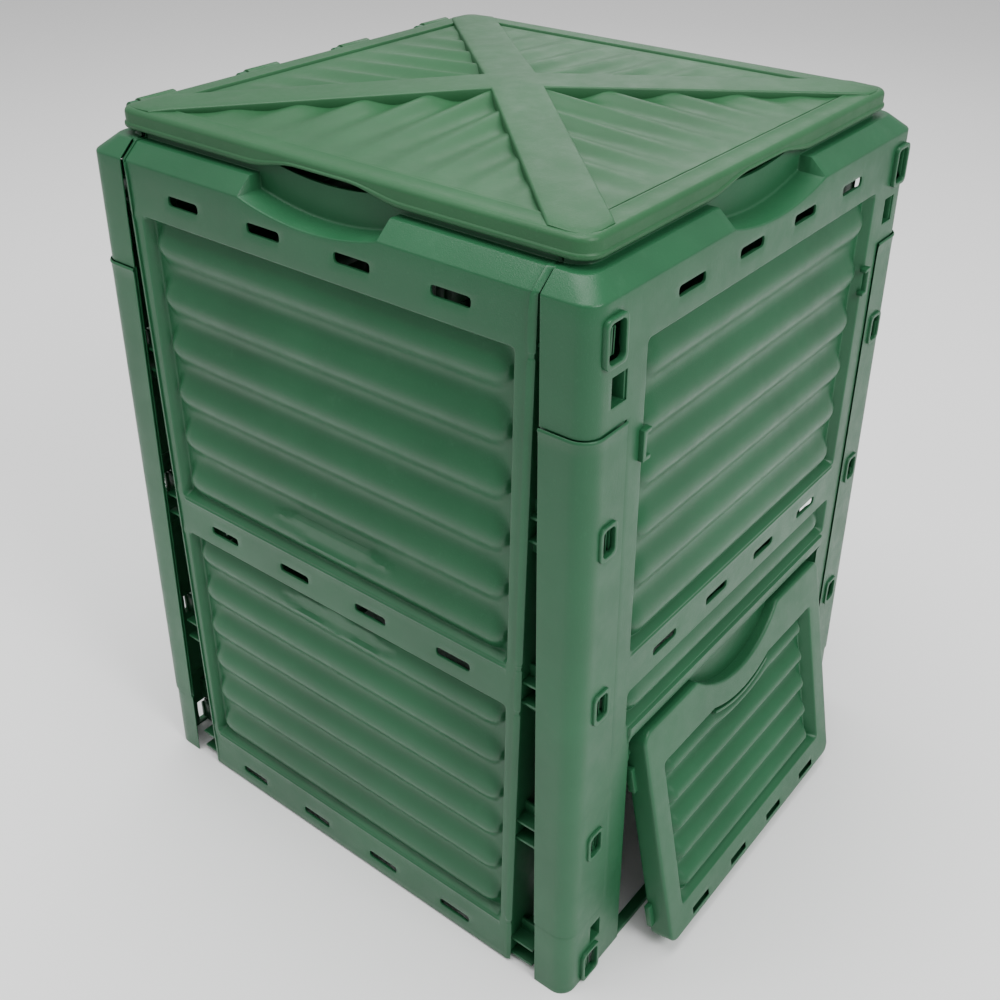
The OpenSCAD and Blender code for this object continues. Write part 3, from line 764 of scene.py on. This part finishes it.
def hatch_shell(name, side, tilt):
    where = hatch_frame(side, tilt)
    low, high = -HATCH_DOWN, HATCH_UP
    flow, fhigh = low + LOW_RAIL, high - TOP_RAIL
    half = HATCH_HALF - HATCH_RIM
    r, corner_r = 3.0, 10.0
    edge_x, edge_low, edge_high = HATCH_HALF - r, low + r, high - r
    corner_stops = [corner_r * t for t in (0.35, 0.7, 1)]
    slots = [((i - 1.5) * HATCH_SLOT_PITCH, low + HATCH_SLOT_UP) for i in range(4)]
    marks = both([half - d for d in wall_stops(HATCH_FIELD_DEEP)] + [edge_x - t for t in corner_stops])
    run = half - wall_run(HATCH_FIELD_DEEP) - HATCH_END_GAP
    marks += both([run - HATCH_END_LEN * t for t in (0, 0.1, 0.25, 0.5, 1)])
    long_half, tall_half = HATCH_SLOT_HALF, HATCH_SLOT_TALL
    inner_long, inner_tall = long_half - HATCH_SLOT_R, tall_half - HATCH_SLOT_R
    marks += [c + m for c, _ in slots for m in (-long_half, -inner_long, inner_long, long_half)]
    xs = lines(-edge_x, edge_x, marks, 8)
    pitch = (fhigh - flow) / HATCH_RIDGES
    stops = wall_stops(HATCH_FIELD_DEEP)
    levels = [flow + d for d in stops] + [fhigh - d for d in stops]
    levels += [low + HATCH_SLOT_UP + m for m in (-tall_half, -inner_tall, inner_tall, tall_half)]
    levels += [edge_low + t for t in corner_stops] + [edge_high - t for t in corner_stops]
    levels += [fhigh - (i + q) * pitch for i in range(HATCH_RIDGES) for q in RIDGE_STOPS]
    vs = lines(edge_low, edge_high, levels, 7)

    def notch(x):
        """Top edge at x: an arc is scooped out of the middle for the fingers."""
        room = HAND_R ** 2 - x * x
        if room <= 0:
            return edge_high
        return min(edge_high, high + HAND_RISE - math.sqrt(room))

    top_from = fhigh + 3

    def field_dip(x):
        """How far the field's top edge dips at x, to follow the finger arc."""
        arc = high + HAND_RISE - math.sqrt(ARC_BAND_R ** 2 - min(abs(x), ARC_BAND_R) ** 2)
        return max(0.0, fhigh - arc)

    def place(x, v):
        h = hatch_height(x, v)
        dip = field_dip(x) * smooth((v - fhigh + DIP_EASE) / DIP_EASE)
        if v > top_from:
            return Vector((x, mix(top_from - dip, notch(x), (v - top_from) / (edge_high - top_from)), h))
        return Vector((x, v - dip, h))

    rows = [[place(x, v) for x in xs] for v in vs]

    def keep(i, j):
        x, v = (xs[i] + xs[i + 1]) / 2, (vs[j] + vs[j + 1]) / 2
        return not any(abs(x - c) < long_half and abs(v - u) < tall_half for c, u in slots)

    bm = bmesh.new()
    grid(bm, rows, keep)
    mid_v = (edge_low + edge_high) / 2
    tall = (edge_high - edge_low) / 2
    rim = [e for e in bm.edges if e.is_boundary and on_rim(e, edge_x, edge_low, notch)]
    for p in bm.verts:
        over_x, over_v = abs(p.co.x) - (edge_x - corner_r), abs(p.co.y - mid_v) - (tall - corner_r)
        if over_x > 0 and over_v > 0:
            a, b = over_x / corner_r, over_v / corner_r
            side_x = edge_x - corner_r + corner_r * a * math.sqrt(1 - b * b / 2)
            side_v = tall - corner_r + corner_r * b * math.sqrt(1 - a * a / 2)
            p.co.x = math.copysign(side_x, p.co.x)
            p.co.y = mid_v + math.copysign(side_v, p.co.y - mid_v)
    turn_over_edge(bm, rim, r, HATCH_DEEP)
    bmesh.ops.transform(bm, matrix=where, verts=bm.verts)
    return new_piece(name, bm, WALL)


def on_rim(edge, edge_x, edge_low, top_at):
    """Whether a boundary edge is on the outline, and not round a slot."""
    a, b = (v.co for v in edge.verts)
    if abs(abs(a.x) - edge_x) < 0.01 and abs(abs(b.x) - edge_x) < 0.01:
        return True
    if abs(a.y - edge_low) < 0.01 and abs(b.y - edge_low) < 0.01:
        return True
    return abs(a.y - top_at(a.x)) < 0.01 and abs(b.y - top_at(b.x)) < 0.01


def turn_over_edge(bm, rim, r, depth):
    """Carries a front's outline round a small radius and back, which makes the side walls of a tray."""
    steps = [(r * math.sin(a), -r + r * math.cos(a)) for a in (math.pi / 8 * i for i in range(1, 5))]
    steps += [(r, -r - (depth - r) * t) for t in (0.15, 0.5, 0.85, 1.0)]
    start = {v: v.co.copy() for e in rim for v in e.verts}
    away = {v: Vector((0, 0, 0)) for v in start}
    for e in rim:
        a, b = e.verts
        normal = (b.co - a.co).cross(Vector((0, 0, 1))).normalized()
        face_middle = e.link_faces[0].calc_center_median()
        if normal.dot(face_middle - a.co) > 0:
            normal = -normal
        away[a] += normal
        away[b] += normal
    source = {v: v for v in start}
    loop = rim
    for out, drop in steps:
        made = bmesh.ops.extrude_edge_only(bm, edges=loop)["geom"]
        new_verts = [g for g in made if isinstance(g, bmesh.types.BMVert)]
        near = {}
        for e in loop:
            for v in e.verts:
                near[v.co.copy().freeze()] = source[v]
        fresh = {}
        for v in new_verts:
            fresh[v] = near[v.co.copy().freeze()]
        for v, origin in fresh.items():
            v.co = start[origin] + away[origin].normalized() * out + Vector((0, 0, drop))
            source[v] = origin
        inside = set(new_verts)
        loop = [g for g in made if isinstance(g, bmesh.types.BMEdge) and set(g.verts) <= inside]


def arc_strip(middle, inner, outer, half_turn, steps=16):
    """A curved strip under a centre point, as an outline."""
    turns = [-math.pi / 2 + half_turn * (2 * i / steps - 1) for i in range(steps + 1)]
    low = [(outer * math.cos(a), middle + outer * math.sin(a)) for a in turns]
    return low + [(inner * math.cos(a), middle + inner * math.sin(a)) for a in reversed(turns)]


def hatch_details(name, side, tilt):
    """Finger pan, the arc under it, back lip, pivots and lugs of a hatch."""
    where = hatch_frame(side, tilt)
    bm = bmesh.new()
    middle = HATCH_UP + HAND_RISE
    pan_deep = HATCH_DEEP / 2
    pan_r = HAND_R + 1.5
    half_turn = math.acos((HAND_RISE + 0.5) / pan_r)
    turns = [half_turn * i / 12 for i in range(-12, 13)]
    pan = [(pan_r * math.sin(a), middle - pan_r * math.cos(a)) for a in turns]
    prism(bm, pan, -pan_deep - WALL, -pan_deep, where)
    prism(bm, box_outline(-96, 96, HATCH_UP - WALL, HATCH_UP - 0.2), -HATCH_DEEP, -pan_deep, where)
    prism(bm, arc_strip(middle, ARC_BAND_R + 6, ARC_BAND_R + 9.5, 0.36), -HATCH_FIELD_DEEP, -1.2, where)
    wide = HATCH_HALF - 10
    prism(bm, box_outline(-wide, wide, HATCH_UP - 1, HATCH_UP + 1.5), -HATCH_DEEP, -HATCH_DEEP + 3, where)
    for s in (-1, 1):
        ring = arc_points(PIVOT_R, [math.pi / 10 * i for i in range(20)])
        at = where @ Matrix.Translation((s * (HATCH_HALF + 4.5), 0, -PIVOT_FRONT))
        prism(bm, ring, -6.5, 6.5, at @ Matrix.Rotation(math.pi / 2, 4, "Y"))
        for near, far, low, high, back, front in (SIDE_LUG, STOP_LUG):
            lug = side_box(s, HATCH_HALF + near, HATCH_HALF + far, low, high)
            prism(bm, lug, -PIVOT_FRONT + back, -PIVOT_FRONT + front, where)
    return new_piece(name, bm, bevel=0.8)


# ---- Lid ----
LID_R = 20.0
LID_BAND = 27.0
SHOULDER = 5.0
RIM_TOP = SKIRT_LOW + SKIRT_H
WAVE_PITCH, WAVE_DEEP = 44.0, 10.0
ARCH_HALF, ARCH_EASE, ARCH_H = 92, 62, 9.0
ARM_WALL = 2.4
ARM_ANGLE = math.atan2(LID_Y, LID_X)
ARM_LEN = math.hypot(LID_X, LID_Y)


def lid_outline(inset, z_of):
    """One loop of the lid's rounded rectangle, the same number of points at every inset."""
    r = max(LID_R - inset, 2.0)
    hx, hy = LID_X - inset, LID_Y - inset
    out = []
    for q, (sx, sy) in enumerate(((1, 1), (-1, 1), (-1, -1), (1, -1))):
        for i in range(9):
            a = math.pi / 2 * (q + i / 8)
            out.append(Vector((sx * (hx - r) + r * math.cos(a), sy * (hy - r) + r * math.sin(a), 0)))
        ahead = ((-1, 1), (-1, -1), (1, -1), (1, 1))[q]
        a = math.pi / 2 * (q + 1)
        end = Vector((ahead[0] * (hx - r) + r * math.cos(a), ahead[1] * (hy - r) + r * math.sin(a), 0))
        start = out[-1].copy()
        out += [start.lerp(end, i / 60) for i in range(1, 60)]
    return [Vector((p.x, p.y, z_of(p))) for p in out]


def skirt_arch(p):
    """The skirt's lower edge arches up over each finger scoop."""
    over_front = abs(p.y) > LID_Y - LID_R and abs(p.x) < ARCH_HALF
    over_right = p.x > LID_X - LID_R and abs(p.y) < ARCH_HALF
    if not (over_front or over_right):
        return 0.0
    along = p.x if over_front else p.y
    return ARCH_H * smooth((ARCH_HALF - abs(along)) / ARCH_EASE)


def lid_ring(bm):
    band = LID_BAND
    back = 1.5
    profile = [(band + 6.0, RIM_TOP - 5.6, 0), (band + 1.8, RIM_TOP - 5.4, 0), (band + 0.5, RIM_TOP - 4.4, 0),
               (band, RIM_TOP - 0.6, 0), (band - 0.8, RIM_TOP + 0.5, 0), (band - 2.6, RIM_TOP + 0.5, 0),
               (band - 3.6, RIM_TOP, 0), (SHOULDER + back + 5, RIM_TOP + 0.2, 0)]
    for i in range(6):
        a = math.pi / 2 * i / 5
        level = RIM_TOP - SHOULDER + SHOULDER * math.cos(a)
        profile.append((SHOULDER - SHOULDER * math.sin(a) + back, level, 0))
    low = SKIRT_LOW
    profile += [(back, low + 5.2, 0.75), (0.4, low + 4.4, 0.78), (0.0, low + 3.4, 0.84),
                (0.0, low + 1.0, 1), (0.6, low, 1)]
    loops = []
    for inset, z, follow in profile:
        outline = lid_outline(inset, lambda p, z=z, f=follow: z + f * skirt_arch(p))
        loops.append([bm.verts.new(p) for p in outline])
    n = len(loops[0])
    for a, b in zip(loops, loops[1:]):
        for i in range(n):
            bm.faces.new((a[i], b[i], b[(i + 1) % n], a[(i + 1) % n]))


def field_level(share):
    """Height of a lid field's crests where share is 0 at its band and 1 at the middle of the lid."""
    return RIM_TOP - 1.4 + (CROWN + 1.0) * share


def lid_field(bm, turn):
    """One of the four fluted triangles between the arms. turn is 0 to 3, from +X round."""
    wide = turn % 2 == 0
    reach, span = (LID_X, LID_Y) if wide else (LID_Y, LID_X)
    angle = math.atan2(span, reach)
    near = ARM_W / 2 / math.sin(angle) - 1.0
    groove = 3.2
    far = reach - LID_BAND - groove
    steps, across = 70, 150
    spin = Matrix.Rotation(math.pi / 2 * turn, 4, "Z")
    rows = []
    for j in range(steps + 1):
        x = mix(near, far, j / steps)
        width = (x - near) * math.tan(angle) + 0.5
        row = []
        for i in range(across + 1):
            y = width * (2 * i / across - 1)
            share = clamp((far - x) / far)
            strength = WAVE_DEEP * share ** 0.7
            wave = 0.5 - 0.5 * math.cos(2 * math.pi * y / WAVE_PITCH)
            row.append(spin @ Vector((x, y, field_level(share) - strength * wave ** 0.8)))
        rows.append(row)
    grid(bm, rows, lambda i, j: True)


def arm_point(s, w, sx, sy):
    """A point of the arm towards the corner (sx, sy), s along it and w across it."""
    x = s * math.cos(ARM_ANGLE) * sx - w * math.sin(ARM_ANGLE) * sy
    y = s * math.sin(ARM_ANGLE) * sy + w * math.cos(ARM_ANGLE) * sx
    return x, y


def inside_lid(x, y, inset):
    dx, dy = abs(x) - (LID_X - LID_R), abs(y) - (LID_Y - LID_R)
    if dx > 0 and dy > 0:
        return math.hypot(dx, dy) <= LID_R - inset
    return max(dx, dy) <= LID_R - inset


def arm_end(w, sx, sy, inset):
    """How far an arm's line at w runs before it meets the lid's rounded edge."""
    low, high = 0.0, ARM_LEN
    for _ in range(30):
        s = (low + high) / 2
        if inside_lid(*arm_point(s, w, sx, sy), inset):
            low = s
        else:
            high = s
    return low


def lid_arms(bm):
    """The flat X that crosses the lid, as four half arms that meet in the middle."""
    lip = (0.0, 0.35, 1.0, 2.2)
    half = ARM_W / 2
    across = [-half + d for d in lip] + [-half / 2, 0, half / 2] + [half - d for d in reversed(lip)]
    drop = [1.6, 0.8, 0.2, 0, 0, 0, 0, 0, 0.2, 0.8, 1.6]
    skirted = [(-half, None)] + list(zip(across, drop)) + [(half, None)]
    inset, ease, skirt_end, skirt_more = SHOULDER + 2.0, 14.0, 4.0, 9.5
    for sx in (-1, 1):
        for sy in (-1, 1):
            rows = []
            for j in range(41):
                row = []
                for w, fall in skirted:
                    toward_x = w * sx * sy < 0
                    start = abs(w) / (math.tan(ARM_ANGLE) if toward_x else 1 / math.tan(ARM_ANGLE))
                    end = arm_end(w, sx, sy, inset)
                    s = mix(start, end, j / 40)
                    level = RIM_TOP + 0.5 + (CROWN + 0.4) * (1 - s / ARM_LEN)
                    level -= 1.0 * smooth(1 - (end - s) / ease)
                    if fall is None:
                        fall = skirt_end + skirt_more * clamp(1 - s / end) ** 0.7
                    x, y = arm_point(s, w, sx, sy)
                    row.append(Vector((x, y, level - fall)))
                rows.append(row if sx * sy > 0 else list(reversed(row)))
            grid(bm, rows, lambda i, j: True)


def lid_part(name, build, thick):
    bm = bmesh.new()
    build(bm)
    bmesh.ops.remove_doubles(bm, verts=bm.verts, dist=0.02)
    bmesh.ops.transform(bm, matrix=ROW, verts=bm.verts)
    bmesh.ops.recalc_face_normals(bm, faces=bm.faces)
    top = max(bm.faces, key=lambda f: f.calc_center_median().z)
    if top.normal.z < 0:
        bmesh.ops.reverse_faces(bm, faces=bm.faces)
    return new_piece(name, bm, thick)


def lid_fields(bm):
    for turn in range(4):
        lid_field(bm, turn)


def hinge_tunnels(bm_name):
    """Half-round tunnels on the lid's hinge edge, over the pegs."""
    bm = bmesh.new()
    outer, inner = PEG_R + 4.5, PEG_R + 1.5
    angles = [math.radians(-8 + 20 * i) for i in range(11)]
    outline = arc_points(outer, angles) + arc_points(inner, reversed(angles))
    for i in range(4):
        middle = (i - 1.5) * PEG_PITCH
        at = ROW @ Matrix.Translation((-HINGE_X, middle, HINGE_Z)) @ Matrix.Rotation(math.pi / 2, 4, "X")
        prism(bm, outline, -TUNNEL / 2, TUNNEL / 2, at)
    return new_piece(bm_name, bm, bevel=0.8)


def hinge_knobs(name):
    """Knobs on the left panel's rim, each with the peg that a tunnel turns on."""
    bm = bmesh.new()
    length, knob_r, clear = 10.0, PEG_R + 3, 1.0
    ring = arc_points(knob_r, [math.pi / 12 * i for i in range(13)])
    outline = ring + [(-knob_r, -26), (knob_r - 1, -26)]
    peg = arc_points(PEG_R, [math.pi / 8 * i for i in range(16)])
    for i in range(4):
        start = (i - 1.5) * PEG_PITCH - TUNNEL / 2 - clear
        at = ROW @ Matrix.Translation((-HINGE_X, start, HINGE_Z)) @ Matrix.Rotation(math.pi / 2, 4, "X")
        prism(bm, outline, 0, length, at)
        prism(bm, peg, 7 - TUNNEL, 1, at)
    return new_piece(name, bm, bevel=0.8)


# ---- Materials ----
def plastic(name, colour, grain_scale, rough):
    """Moulded polypropylene: fine grain, faint flow marks, scuffs and a little dust."""
    mat = bpy.data.materials.new(name)
    mat.use_nodes = True
    nodes, links = mat.node_tree.nodes, mat.node_tree.links
    shader = nodes["Principled BSDF"]
    shader.inputs["Specular IOR Level"].default_value = 0.33
    shader.inputs["IOR"].default_value = 1.49
    place = nodes.new("ShaderNodeTexCoord")

    def noise(scale, detail, rough_n=0.55):
        n = nodes.new("ShaderNodeTexNoise")
        n.inputs["Scale"].default_value = scale
        n.inputs["Detail"].default_value = detail
        n.inputs["Roughness"].default_value = rough_n
        links.new(place.outputs["Object"], n.inputs["Vector"])
        return n

    def ramp(source, low, high, a, b):
        r = nodes.new("ShaderNodeMapRange")
        r.inputs["From Min"].default_value = low
        r.inputs["From Max"].default_value = high
        r.inputs["To Min"].default_value = a
        r.inputs["To Max"].default_value = b
        links.new(source, r.inputs["Value"])
        return r.outputs["Result"]

    cloud = noise(5.5, 4)
    speck = noise(420, 2)
    grain = noise(grain_scale, 3, 0.6)
    scuff = noise(38, 6, 0.7)
    tint = nodes.new("ShaderNodeMix")
    tint.data_type = "RGBA"
    tint.inputs["A"].default_value = (*[c * 0.86 for c in colour], 1)
    tint.inputs["B"].default_value = (*[min(1, c * 1.13) for c in colour], 1)
    links.new(ramp(cloud.outputs["Fac"], 0.3, 0.7, 0, 1), tint.inputs["Factor"])
    fleck = nodes.new("ShaderNodeMix")
    fleck.data_type = "RGBA"
    fleck.inputs["B"].default_value = (*[c * 1.6 + 0.012 for c in colour], 1)
    links.new(tint.outputs["Result"], fleck.inputs["A"])
    links.new(ramp(speck.outputs["Fac"], 0.62, 0.8, 0, 0.3), fleck.inputs["Factor"])
    worn = nodes.new("ShaderNodeMix")
    worn.data_type = "RGBA"
    worn.inputs["B"].default_value = (*[c * 1.35 + 0.02 for c in colour], 1)
    links.new(fleck.outputs["Result"], worn.inputs["A"])
    links.new(ramp(scuff.outputs["Fac"], 0.6, 0.85, 0, 0.45), worn.inputs["Factor"])
    links.new(worn.outputs["Result"], shader.inputs["Base Color"])
    links.new(ramp(scuff.outputs["Fac"], 0.3, 0.75, rough - 0.05, rough + 0.12), shader.inputs["Roughness"])
    bump = nodes.new("ShaderNodeBump")
    bump.inputs["Strength"].default_value = 0.5
    bump.inputs["Distance"].default_value = 0.0004
    links.new(grain.outputs["Fac"], bump.inputs["Height"])
    wavy = nodes.new("ShaderNodeBump")
    wavy.inputs["Strength"].default_value = 0.12
    wavy.inputs["Distance"].default_value = 0.002
    links.new(cloud.outputs["Fac"], wavy.inputs["Height"])
    links.new(bump.outputs["Normal"], wavy.inputs["Normal"])
    links.new(wavy.outputs["Normal"], shader.inputs["Normal"])
    return mat


GREEN = (0.015, 0.093, 0.038)
LID_GREEN = (0.021, 0.098, 0.037)
finishes = {
    "panel_plastic": plastic("panel_plastic", GREEN, 800, 0.34),
    "cover_plastic": plastic("cover_plastic", GREEN, 780, 0.36),
    "hatch_plastic": plastic("hatch_plastic", GREEN, 800, 0.36),
    "lid_plastic": plastic("lid_plastic", LID_GREEN, 760, 0.4),
}


def finish_piece(obj, body, slot, *nodes):
    obj.data.materials.clear()
    obj.data.materials.append(finishes[slot])
    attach(obj, body)
    if nodes:
        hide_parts(*nodes)


# ---- The pieces ----
for node, side in (("front_panel", 0), ("back_panel", 2)):
    finish_piece(plain_sheet(node + "_sheet", side), "bin", "panel_plastic", node)
    finish_piece(tab_prisms(node + "_tabs", side), "bin", "panel_plastic")

for node, side in (("right_panel", 1), ("left_panel", 3)):
    finish_piece(wrap_sheet(node + "_sheet", side), "bin", "panel_plastic", node)
    finish_piece(wrap_details(node + "_details", side), "bin", "panel_plastic")
finish_piece(hinge_knobs("left_panel_hinge_knobs"), "bin", "panel_plastic")

corners = (("front_right", 1, -1), ("back_right", 1, 1), ("back_left", -1, 1), ("front_left", -1, -1))
for corner, sx, sy in corners:
    node = "corner_cover_" + corner
    shell, bosses = corner_cover(node + "_shell", sx, sy)
    finish_piece(shell, "bin", "cover_plastic", node)
    finish_piece(bosses, "bin", "cover_plastic")

for node, side, tilt in (("right_hatch", 1, TILT_OPEN), ("left_hatch", 3, LEAN)):
    finish_piece(hatch_shell(node + "_tray", side, tilt), node, "hatch_plastic", node)
    finish_piece(hatch_details(node + "_pivots", side, tilt), node, "hatch_plastic")

finish_piece(lid_part("lid_rim", lid_ring, WALL), "lid", "lid_plastic", "lid")
finish_piece(lid_part("lid_fields", lid_fields, WALL), "lid", "lid_plastic")
finish_piece(lid_part("lid_arms", lid_arms, ARM_WALL), "lid", "lid_plastic")
finish_piece(hinge_tunnels("lid_hinge_tunnels"), "lid", "lid_plastic")


# ---- Stage, light and camera ----
def floor():
    bm = bmesh.new()
    bmesh.ops.create_grid(bm, x_segments=1, y_segments=1, size=30)
    mesh = bpy.data.meshes.new("floor")
    bm.to_mesh(mesh)
    bm.free()
    obj = bpy.data.objects.new("floor", mesh)
    bpy.context.scene.collection.objects.link(obj)
    mat = bpy.data.materials.new("floor_paint")
    mat.use_nodes = True
    shader = mat.node_tree.nodes["Principled BSDF"]
    shader.inputs["Base Color"].default_value = (0.95, 0.95, 0.95, 1)
    shader.inputs["Roughness"].default_value = 0.9
    obj.data.materials.append(mat)


def area_light(name, place, aim, size, power, colour=(1, 1, 1)):
    data = bpy.data.lights.new(name, "AREA")
    data.shape = "DISK"
    data.size = size
    data.energy = power
    data.color = colour
    obj = bpy.data.objects.new(name, data)
    obj.location = place
    obj.rotation_euler = (Vector(place) - Vector(aim)).to_track_quat("Z", "Y").to_euler()
    bpy.context.scene.collection.objects.link(obj)


def camera(place, azimuth, elevation, roll, lens_mm):
    a, e, r = (math.radians(x) for x in (azimuth, elevation, roll))
    back = Vector((math.sin(a) * math.cos(e), -math.cos(a) * math.cos(e), math.sin(e)))
    right = Vector((math.cos(a), math.sin(a), 0))
    up = back.cross(right)
    right, up = right * math.cos(r) + up * math.sin(r), up * math.cos(r) - right * math.sin(r)
    data = bpy.data.cameras.new("camera")
    data.lens = lens_mm
    data.sensor_width = 36
    obj = bpy.data.objects.new("camera", data)
    turned = Matrix((right, up, back)).transposed().to_4x4()
    obj.matrix_world = Matrix.Translation(place) @ turned
    bpy.context.scene.collection.objects.link(obj)
    bpy.context.scene.camera = obj


floor()
world = bpy.data.worlds.new("studio")
world.use_nodes = True
world.node_tree.nodes["Background"].inputs["Color"].default_value = (1, 1, 1, 1)
world.node_tree.nodes["Background"].inputs["Strength"].default_value = 0.55
bpy.context.scene.world = world
area_light("key", (2.8, -0.5, 2.8), (0, 0, 0.4), 1.6, 85)
area_light("top", (-0.3, -0.2, 4.2), (0, 0, 0), 3.4, 165)
area_light("back", (-1.5, 2.7, 2.3), (0, 0, 0.7), 1.6, 11)
area_light("front", (-1.5, -1.9, 2.5), (0, -0.2, 0.75), 0.9, 10)
camera((0.7140, -0.9566, 1.1485), 38.22, 33.58, 0.22, 43.56)
